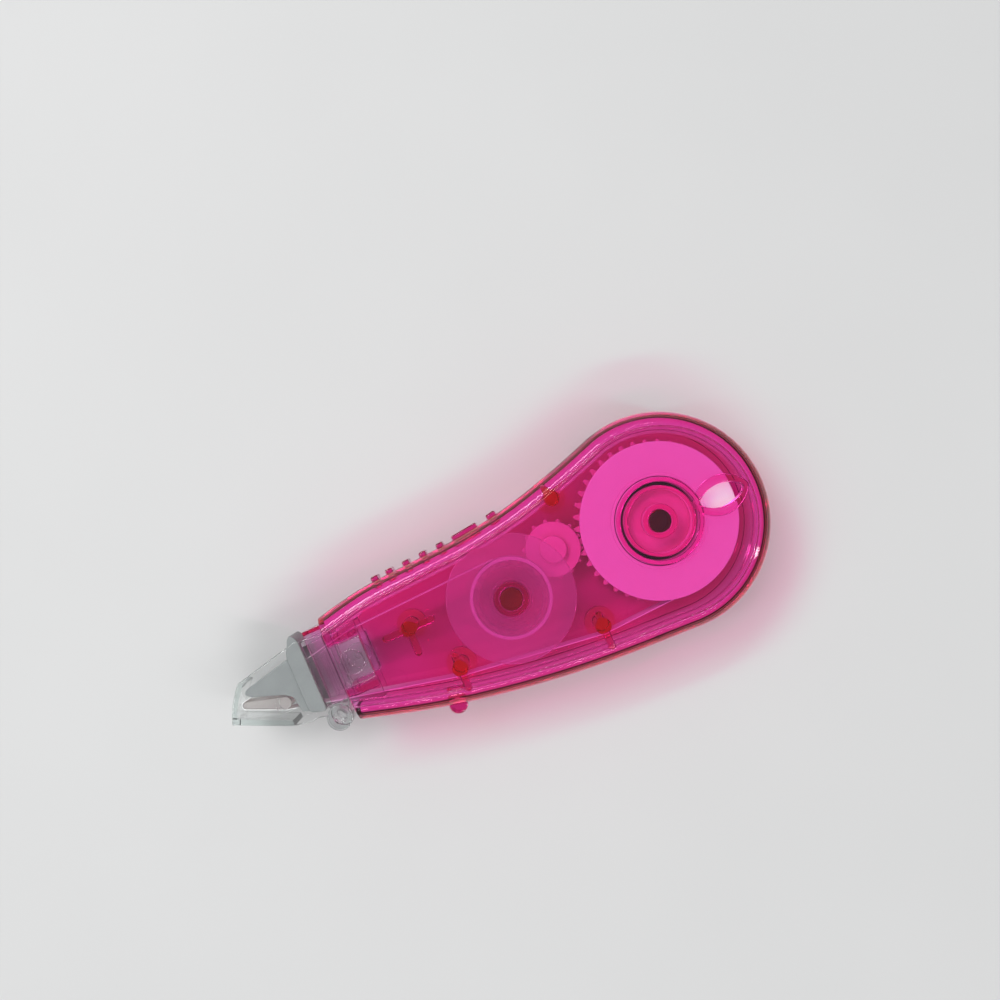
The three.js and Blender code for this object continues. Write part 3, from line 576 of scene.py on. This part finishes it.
def front_casing():
    """The front half, with its pins and ribs, the reels' guides, the window and the mould's round marks."""
    posts = [prism(circle(at, PIN_RADIUS), 2.2, POST_Z, 0.25) for at in PINS]
    mx, my = MIDDLE_PIN
    ribs = [
        ((-13.9, -9.1), (-13.9, -14)), ((-35.8, -6.2), (-35.8, -11.2)), (TOP_PIN, (-13.7, 10.6)),
        ((mx - 3.6, my), (mx + 3.6, my)), ((mx, my), (mx, my - 3.7)),
    ]
    rib_width, guide_z = 1.1, 10.4
    lip = [(12.72, 0.0), (12.8, 0.03), (12.93, 0.12), (THICKNESS, 0.28), (THICKNESS + 0.5, 0.28)]
    body = join(
        half_shell(True),
        *posts,
        *(prism(bar(a, b, rib_width), 9.6, POST_Z, 0.2) for a, b in ribs),
        *(prism(bar((-51.4, y), (-48, y), rib_width), 10.35, POST_Z, 0.1) for y in (3.1, -5.2)),
        *neck(True),
        *(ring(at, 1.85, 2.55, guide_z, POST_Z, 0.1, 48) for at in (SUPPLY, TAKEUP)),
        ring(SUPPLY, 4.8, 5.3, guide_z, POST_Z, 0.12),
        ring(SUPPLY, 5.9, 6.5, guide_z, POST_Z, 0.12),
        leaf(4.5, 3.0, [(10.6, -0.12), (10.64, -0.05), (10.72, 0.0), (POST_Z, 0.0)]),
    )
    return cut(
        body,
        leaf(3.45, 1.7, [(9.9, 0.0), *lip]),
        prism(NOTCH, PLATE_Z - 1, THICKNESS + 1),
        *(prism(circle(at, EJECTOR_RADIUS), PLATE_Z - 0.5, PLATE_Z + 0.06, 0.02) for at in EJECTOR_MARKS),
    )


def rear_casing():
    """The rear half, with the sockets for the pins and the spindles of the three wheels."""
    foot = THICKNESS - POST_Z
    body = join(
        half_shell(False),
        *(ring(at, 1.3, 2.35, foot, 3.4, 0.1, 48) for at in PINS),
        *neck(False),
        *(prism(circle(at, REEL_SPINDLE_RADIUS), foot, REEL_SPINDLE_TOP, 0.2) for at in (SUPPLY, TAKEUP)),
        prism(circle(IDLER, IDLER_SPINDLE_RADIUS), foot, IDLER_SPINDLE_TOP, 0.15),
    )
    return cut(body, prism(NOTCH, -1, THICKNESS - PLATE_Z + 1))


CASING = [
    ("front_casing", front_casing(), "casing", "casing", "casing_pink"),
    ("rear_casing", rear_casing(), "casing", "casing", "casing_pink"),
]


# ------------------------------------------------------------------ gears and reels
MODULE = 0.6
SUPPLY_TEETH, IDLER_TEETH, TAKEUP_TEETH = 40, 14, 18
GEAR_Z0, GEAR_Z1 = 1.7, 3.2
DRUM_Z = 4.0
PRESSURE_ANGLE = math.radians(20)
BACKLASH = 0.08  # taken off each side of a tooth
TOOTH_ROUND = 0.08  # bevel at a tooth's tip
REEL_BORE = 1.78


def gear_outline(centre, teeth, turn):
    """Involute teeth. Below the base circle a flank runs straight to the root."""
    pitch = MODULE * teeth / 2
    base = pitch * math.cos(PRESSURE_ANGLE)
    root, tip = pitch - 1.15 * MODULE, pitch + 0.8 * MODULE
    roll = lambda r: math.sqrt((r / base) ** 2 - 1) - math.acos(base / r) if r > base else 0.0
    half_tooth = math.pi / (2 * teeth) - BACKLASH / pitch
    low = max(root, base)
    flank = [low + (tip - TOOTH_ROUND - low) * i / 4 for i in range(5)]
    if base > root + 1e-3:
        flank.insert(0, root)
    half = lambda r: half_tooth + roll(pitch) - roll(r)
    sides = [(r, half(r)) for r in flank] + [(tip, half(tip) - TOOTH_ROUND / tip)]
    points = []
    for i in range(teeth):
        middle = turn + 2 * math.pi * i / teeth
        for r, spread in [*((r, -h) for r, h in sides), *((r, h) for r, h in reversed(sides))]:
            a = middle + spread
            points.append(Vector((centre[0] + r * math.cos(a), centre[1] + r * math.sin(a))))
    return points


# Turns that put a tooth of one gear in a gap of the next at rest.
IDLER_STEP, TAKEUP_STEP = 2 * math.pi / IDLER_TEETH, 2 * math.pi / TAKEUP_TEETH
SUPPLY_TURN = angle_to(SUPPLY, IDLER)
IDLER_TURN = angle_to(IDLER, SUPPLY) + IDLER_STEP / 2
TEETH_TO_TAKEUP = (angle_to(IDLER, TAKEUP) - IDLER_TURN) / IDLER_STEP
TAKEUP_TURN = angle_to(TAKEUP, IDLER) + (TEETH_TO_TAKEUP + 0.5) * TAKEUP_STEP


def gear(centre, teeth, turn, bore, bore_top, *extras):
    return cut(
        join(prism(gear_outline(centre, teeth, turn), GEAR_Z0, GEAR_Z1, 0.05), *extras),
        prism(circle(centre, bore), -1, bore_top),
    )


WEB_Z = 6.6  # underside of the web inside the supply gear's tube
supply_gear = cut(
    join(
        cut(
            prism(gear_outline(SUPPLY, SUPPLY_TEETH, SUPPLY_TURN), GEAR_Z0, GEAR_Z1, 0.05),
            prism(circle(SUPPLY, 5.0, 96), -1, THICKNESS),
        ),
        ring(SUPPLY, 4.75, 5.35, GEAR_Z0, 9.0),
        prism(circle(SUPPLY, 5.05, 96), WEB_Z, WEB_Z + 0.8, 0.02),
        prism(circle(SUPPLY, 2.6), GEAR_Z0, 9.9, 0.12),
    ),
    prism(circle(SUPPLY, REEL_BORE), -1, THICKNESS),
)
idler_gear = gear(
    IDLER, IDLER_TEETH, IDLER_TURN, 1.23, IDLER_SPINDLE_TOP + 0.2,
    prism(circle(IDLER, 3.1), GEAR_Z0, DRUM_Z - 0.3),
    prism(circle(IDLER, 4.25, 72), GEAR_Z1 + 0.15, DRUM_Z - 0.15, 0.12),
    prism(circle(IDLER, 2.1), GEAR_Z0, IDLER_SPINDLE_TOP + 0.7, 0.25),
)
takeup_reel = gear(
    TAKEUP, TAKEUP_TEETH, TAKEUP_TURN, REEL_BORE, THICKNESS,
    ring(TAKEUP, 4.5, 4.85, GEAR_Z1 - 0.3, DRUM_Z + 0.2, 0.03),
    ring(TAKEUP, 4.8, 5.2, GEAR_Z1 + 0.02, DRUM_Z + 0.2, 0.03),
    ring(TAKEUP, 4.8, 5.6, DRUM_Z, 9.1, 0.1),
    prism(circle(TAKEUP, 2.6), GEAR_Z0, 10.1, 0.12),
)


def wound_roll(centre, inner, outer, z0, z1, turns):
    """A roll of tape whose two faces show its turns as shallow steps."""
    edge = 0.03
    wobble = lambda i: 0.035 * math.sin(2.4 * i) + 0.02 * math.sin(5.1 * i + 1.0)
    radii = [outer - edge - (outer - inner - 2 * edge) * i / turns for i in range(turns + 1)]
    top = [(r, z1 - edge - abs(wobble(i))) for i, r in enumerate(radii)]
    bottom = [(r, z0 + edge + abs(wobble(i + 3))) for i, r in enumerate(radii)]
    section = [
        (outer, z0 + 2 * edge), (outer, z1 - 2 * edge), *top,
        (inner, z1 - 2 * edge), (inner, z0 + 2 * edge), *reversed(bottom),
    ]
    return turned(centre, section)


def flange(centre, inner, outer, z0, z1):
    """A reel's front disc: flat, with a rounded rim and a shallow groove round the bore."""
    lip = 0.08
    rim = [
        (outer - 0.15, z0), (outer - 0.04, z0 + 0.06), (outer, z0 + 0.18),
        (outer, z1 - 0.18), (outer - 0.05, z1 - 0.06), (outer - 0.17, z1),
    ]
    groove = [
        (inner + 0.55, z1), (inner + 0.5, z1 - 0.05), (inner + 0.4, z1 - 0.06),
        (inner + 0.34, z1 - 0.02), (inner + 0.3, z1),
    ]
    bore = [
        (inner + lip, z1), (inner + 0.02, z1 - 0.03), (inner, z1 - lip),
        (inner, z0 + lip), (inner + 0.02, z0 + 0.02),
    ]
    section = [(inner + lip, z0), *rim, *groove, *bore]
    return turned(centre, section, 144)


clutch_ring = turned(SUPPLY, arc((5.625, MID), 0.195, 0, 337.5, 15))
supply_core = ring(SUPPLY, 5.9, 6.6, GEAR_Z1 + 0.25, 10.1, 0.12)
supply_roll = wound_roll(SUPPLY, 6.72, PACK_RADIUS, TAPE_Z0, TAPE_Z1, 60)
takeup_roll = wound_roll(TAKEUP, 5.72, SPENT_RADIUS, TAPE_Z0, TAPE_Z1, 8)
REELS = [
    ("supply_gear", supply_gear, "gear", "supply_drive", "gear_pink"),
    ("clutch_ring", clutch_ring, "rubber", "supply_drive", "clutch_rubber"),
    ("supply_core", supply_core, "disc", "supply_reel", "reel_white"),
    ("supply_disc", flange(SUPPLY, 6.72, 11.9, DISC_Z0, 10.1), "disc", "supply_reel", "reel_white"),
    ("supply_tape_roll", supply_roll, "fresh", "supply_reel", "tape_white"),
    ("idler_gear", idler_gear, "gear", "idler", "gear_pink"),
    ("takeup_reel", takeup_reel, "clear_pink", "takeup", "reel_clear_pink"),
    ("takeup_disc", flange(TAKEUP, 2.72, 9.8, DISC_Z0, 9.75), "clear_pink", "takeup", "reel_clear_pink"),
    ("takeup_tape_roll", takeup_roll, "spent", "takeup", "backing_film"),
]


# ------------------------------------------------------------------ head and tape strands
def nose_guard():
    """A winged collar, two cheeks and a roof over the tape, with soft edges that catch the light."""
    collar = rounded([(-56.4, -6.2), (-56.4, 4.9), (-57.0, 6.2), (-57.7, 6.2), (-59, 3.5), (-59, -5.4)], 0.8)
    cheek = rounded([
        (-58.6, -5.3), (-58.6, 3.3), (-66.4, 1.45), (-66.9, 0.85), (-66.2, 0.15), (-61.5, -1.5),
        (-60.3, -2.4), (-60.0, -4.9),
    ], 0.4)
    opening = rounded([
        (-70, -4.5), (-60.5, -4.5), (-56.5, -5.35), (-53, -5.9),
        (-53, 3.9), (-57.5, 3.9), (-58.6, 2.75), (-70, -0.2),
    ], 0.2)
    return cut(
        join(
            prism(collar, MID - 4.3, MID + 4.3, 0.2),
            prism(cheek, MID - 3.8, MID + 3.8, 0.16),
        ),
        prism(opening, MID - 3.3, MID + 3.3, 0.05),
    )


LOCK_BOSS = (-50, -0.9)
LUG_RADIUS = 1.9  # of the holder's lug and of the cap's ears, on the cap's pivot
RETURN_GUIDE = (-49, 2.85)
RETURN_GUIDE_RADIUS = 0.4
TIP_EDGE = (-67.5, -0.78)
TIP_RADIUS, AXLE_RADIUS = 0.45, 0.9
THROUGH = 8  # half length of a tool that cuts right through the head


def each_side(outline, inner, outer, edge=0.08):
    """The outline raised between two distances from the middle plane, on both sides of it."""
    return [prism(outline, MID + inner, MID + outer, edge), prism(outline, MID - outer, MID - inner, edge)]


def across(outline, half, edge=0.08):
    """The outline raised through the middle plane."""
    return prism(outline, MID - half, MID + half, edge)


def head_holder():
    """Clear plug in the casing's mouth, with the lock plates, the cap's lug and the tip's two arms."""
    plug = rounded([(-56.25, -6.1), (-47.7, -7.9), (-47.7, 5.2), (-56.25, 4.7)], 0.5)
    tunnel = rounded([(-57, -5.45), (-46, -8.05), (-46, 4.5), (-57, 3.95)], 0.3)
    arm = rounded([
        (-53.8, 1.4), (-59, 1.4), (-61.4, -1.2), (-63.3, -1.7), (-63.5, -3.4), (-62.5, -4.2), (-60.8, -4.1),
        (-53.8, -4.8),
    ], 0.6)
    lug = across(circle(CAP_PIVOT, LUG_RADIUS), 3.9, 0.15)
    body = join(
        cut(join(across(plug, 3.6), lug), across(tunnel, 2.75)),
        *each_side(rectangle(MOUTH_X, -47.65, -4.15, 2.25, 0.3), 3.4, 6.0, 0.12),
        *each_side(circle(LOCK_BOSS, 1.9, 64), 3.4, 6.35, 0.2),
        *each_side(arm, 2.65, 3.2, 0.06),
        across(circle(RETURN_GUIDE, RETURN_GUIDE_RADIUS, 24), 3.4),
    )
    return cut(
        body,
        *each_side(circle(LOCK_BOSS, 0.55, 24), 5.9, 7.0, 0.1),
        across(circle(CAP_PIVOT, 1.08), THROUGH),
        across(circle(TIP_AXLE, 0.98), THROUGH),
    )


def transfer_tip():
    """Tapered blade from its axle to the rounded pressing edge."""
    reach = Vector(TIP_EDGE) - Vector(TIP_AXLE)
    facing = math.degrees(math.atan2(reach.y, reach.x))
    spread = math.degrees(math.acos((AXLE_RADIUS - TIP_RADIUS) / reach.length))
    blade = [
        *arc(TIP_AXLE, AXLE_RADIUS, facing + spread, facing - spread + 360, 32),
        *arc(TIP_EDGE, TIP_RADIUS, facing - spread, facing + spread, 16),
    ]
    return join(across(blade, 2.55, 0.06), across(circle(TIP_AXLE, AXLE_RADIUS), 3.2, 0.12))


def head_cap():
    """Two cheeks on the pivot, an end wall that is an arc about it, and a floor."""
    inner, outer, top, bottom = 15.2, 15.9, 138, 160.5
    from_pivot = lambda x, y: Vector(CAP_PIVOT) + Vector((x, y))
    rear_x = MOUTH_X - 0.35
    toe, bend, heel = from_pivot(-6.6, 1.55), from_pivot(-4, 0.95), from_pivot(-2.6, 1.2)
    cheek = [
        Vector((rear_x, -6)), Vector((rear_x, 4.5)), Vector((-57, 5.15)),
        *arc(CAP_PIVOT, outer, top, bottom, 24),
        *(toe * (1 - t) ** 2 + bend * 2 * t * (1 - t) + heel * t**2 for t in (i / 8 for i in range(9))),
        *arc(CAP_PIVOT, LUG_RADIUS, 150, 380, 36),
    ]
    wall = [*arc(CAP_PIVOT, outer, top, bottom, 24), *arc(CAP_PIVOT, inner, bottom, top, 24)]
    inside = arc(CAP_PIVOT, inner + 0.3, 157.5, 157.5, 1)[0]
    outside = arc(CAP_PIVOT, outer, bottom, bottom, 1)[0]
    body = join(
        *each_side(cheek, 4.45, 5.35, 0.18),
        across(wall, 4.75, 0.05),
        across([toe, from_pivot(-6.6, 2.35), inside, outside], 4.75, 0.05),
        *each_side(circle(CAP_PIVOT, 1.0), 2.8, 4.65, 0.1),
    )
    return cut(body, *each_side(circle(CAP_PIVOT, 0.6, 32), 5.0, 6.0, 0.12))


FILM_GAP = 0.2  # from what the film runs over to its middle line
FILM_SLACK = 0.065  # each part of the film stops this short of where the next one begins
FILM_SPLITS = {3: -62.6, 4: -65.6}  # where the runs below and above the blade are split: run, X
FILM_GUIDES = [
    (SUPPLY, PACK_RADIUS), (REAR_PIN, PIN_RADIUS), (FRONT_PIN, PIN_RADIUS), (TIP_AXLE, AXLE_RADIUS),
    (TIP_EDGE, TIP_RADIUS), (RETURN_GUIDE, RETURN_GUIDE_RADIUS), (TAKEUP, SPENT_RADIUS),
]


def film_parts():
    """Middle line of the film in three parts: supply pack to tip, round the tip, tip to take-up pack."""
    guides = [(Vector(at), radius + FILM_GAP) for at, radius in FILM_GUIDES]
    runs = []
    for (a, ra), (b, rb) in zip(guides, guides[1:]):
        along = b - a
        heading = math.atan2(along.y, along.x) + math.asin((rb - ra) / along.length)
        left = Vector((-math.sin(heading), math.cos(heading)))
        runs.append((a + left * ra, b + left * rb))
    line, ends = [runs[0][0]], []
    for i, (start, end) in enumerate(runs):
        if i in FILM_SPLITS:
            ends.append(len(line))
            line.append(start.lerp(end, (FILM_SPLITS[i] - start.x) / (end.x - start.x)))
        line.append(end)
        if i + 1 < len(runs):
            centre, radius = guides[i + 1]
            first = math.degrees(math.atan2(*(end - centre).yx))
            last = math.degrees(math.atan2(*(runs[i + 1][0] - centre).yx))
            turn = (first - last) % 360
            line += arc(centre, radius, first, first - turn, max(2, math.ceil(turn / 6)))[1:]
    parts = [line[: ends[0] + 1], line[ends[0] : ends[1] + 1], line[ends[1] :]]
    for before, after in zip(parts, parts[1:]):
        slack = (after[1] - before[-2]).normalized() * FILM_SLACK
        before[-1] = before[-1] - slack
        after[0] = after[0] + slack
    return parts


def ribbon(line, thickness):
    """The film's full width along a middle line."""
    sides = []
    for i, p in enumerate(line):
        along = (line[min(i + 1, len(line) - 1)] - line[max(i - 1, 0)]).normalized()
        sides.append((p, Vector((-along.y, along.x)) * thickness / 2))
    outline = [p - side for p, side in sides] + [p + side for p, side in reversed(sides)]
    return prism(outline, TAPE_Z0, TAPE_Z1, 0.02)


FEED, ROUND_TIP, RETURN = film_parts()
HEAD = [
    ("head_holder", head_holder(), "clear", "casing", "holder_clear"),
    ("nose_guard", nose_guard(), "nose", "casing", "nose_grey"),
    ("transfer_tip", transfer_tip(), "tip", "tip", "tip_white"),
    ("head_cap", head_cap(), "clear", "cap", "cap_clear"),
    ("feed_tape", ribbon(FEED, 0.14), "strand", "casing", "tape_white"),
    ("tip_tape", ribbon(ROUND_TIP, 0.14), "strand", "tip", "tape_white"),
    ("return_tape", ribbon(RETURN, 0.1), "film", "casing", "backing_film"),
]
for row in CASING + REELS + HEAD:  # node, mesh, material, body, slot
    piece_of(*row)


# ------------------------------------------------------------------ stage, lights and camera
def floor():
    half = 1.2
    below = cad_box[0].z - 0.05 * MM
    corners = [(x * half, y * half, below) for x, y in ((-1, -1), (1, -1), (1, 1), (-1, 1))]
    mesh = bpy.data.meshes.new("floor")
    mesh.from_pydata(corners, [], [(0, 1, 2, 3)])
    obj = bpy.data.objects.new("floor", mesh)
    bpy.context.scene.collection.objects.link(obj)
    s = Shader("pale_floor")
    base = s.mix(s.noise(40, detail=2.0), opaque((0.64, 0.64, 0.635)), opaque((0.67, 0.67, 0.665)))
    s.surface(s.add("ShaderNodeBsdfPrincipled", {"Base Color": base, "Roughness": 0.7}).outputs[0])
    mesh.materials.append(s.material)


FADE_POWER = 0.7
FADE_MAKE_UP = 1.9  # what the fading takes from a light's power


def soften(light):
    """Fades an area light towards its edges, so that its reflection has no hard outline."""
    light.use_nodes = True
    tree = light.node_tree
    place = tree.nodes.new("ShaderNodeSeparateXYZ")
    tree.links.new(tree.nodes.new("ShaderNodeNewGeometry").outputs["Parametric"], place.inputs[0])

    def math_node(operation, first, second):
        node = tree.nodes.new("ShaderNodeMath")
        node.operation = operation
        for socket, value in zip(node.inputs, (first, second)):
            if isinstance(value, bpy.types.NodeSocket):
                tree.links.new(value, socket)
            else:
                socket.default_value = value
        return node.outputs[0]

    fades = []
    for axis in ("X", "Y"):
        at = place.outputs[axis]
        hill = math_node("MULTIPLY", at, math_node("SUBTRACT", 1.0, at))
        fades.append(math_node("POWER", math_node("MULTIPLY", hill, 4.0), FADE_POWER))
    strength = math_node("MULTIPLY", math_node("MULTIPLY", *fades), FADE_MAKE_UP)
    tree.links.new(strength, tree.nodes["Emission"].inputs["Strength"])


LIT_POINT = (-0.02, 0.0, 0.0)  # metres, like every size of a light


def softbox(name, place, size, power):
    light = bpy.data.lights.new(name, "AREA")
    light.shape = "RECTANGLE"
    light.size, light.size_y = size
    light.energy = power
    soften(light)
    obj = bpy.data.objects.new(name, light)
    obj.location = place
    obj.rotation_mode = "QUATERNION"
    obj.rotation_quaternion = (Vector(LIT_POINT) - Vector(place)).to_track_quat("-Z", "Y")
    bpy.context.scene.collection.objects.link(obj)


def studio():
    world = bpy.data.worlds.new("studio")
    world.use_nodes = True
    background = world.node_tree.nodes["Background"]
    background.inputs["Color"].default_value = (0.95, 0.97, 1.0, 1)
    background.inputs["Strength"].default_value = 0.34
    bpy.context.scene.world = world
    softbox("key", (-0.28, 0.40, 0.60), (0.5, 0.28), 2.3)
    softbox("right_strip", (0.34, -0.28, 0.56), (0.05, 0.5), 0.75)
    softbox("lower_strip", (-0.12, -0.43, 0.54), (0.6, 0.07), 1.1)
    softbox("upper_strip", (-0.05, 0.44, 0.54), (0.7, 0.04), 0.8)
    softbox("left_strip", (-0.42, 0.08, 0.52), (0.04, 0.5), 0.45)


VIEW_CENTRE = (-20.5, 12.3)  # where the camera's axis meets the front face
VIEW_DISTANCE = 215.0
VIEW_WIDTH = 147.0  # width of the picture at the front face
VIEW_ROLL = 23.5  # degrees the roller's length is turned in the picture


def camera():
    data = bpy.data.cameras.new("camera")
    data.sensor_width = 36
    data.lens = data.sensor_width * VIEW_DISTANCE / VIEW_WIDTH
    data.clip_start = 0.01
    obj = bpy.data.objects.new("camera", data)
    obj.location = (VIEW_CENTRE[0] * MM, VIEW_CENTRE[1] * MM, (THICKNESS + VIEW_DISTANCE) * MM)
    obj.rotation_euler = (0, 0, -math.radians(VIEW_ROLL))
    bpy.context.scene.collection.objects.link(obj)
    bpy.context.scene.camera = obj


floor()
studio()
camera()
scene = bpy.context.scene
scene.view_settings.view_transform = "Standard"
scene.cycles.max_bounces = 24
scene.cycles.transmission_bounces = 20
scene.cycles.transparent_max_bounces = 24
scene.cycles.caustics_refractive = False
scene.cycles.caustics_reflective = False
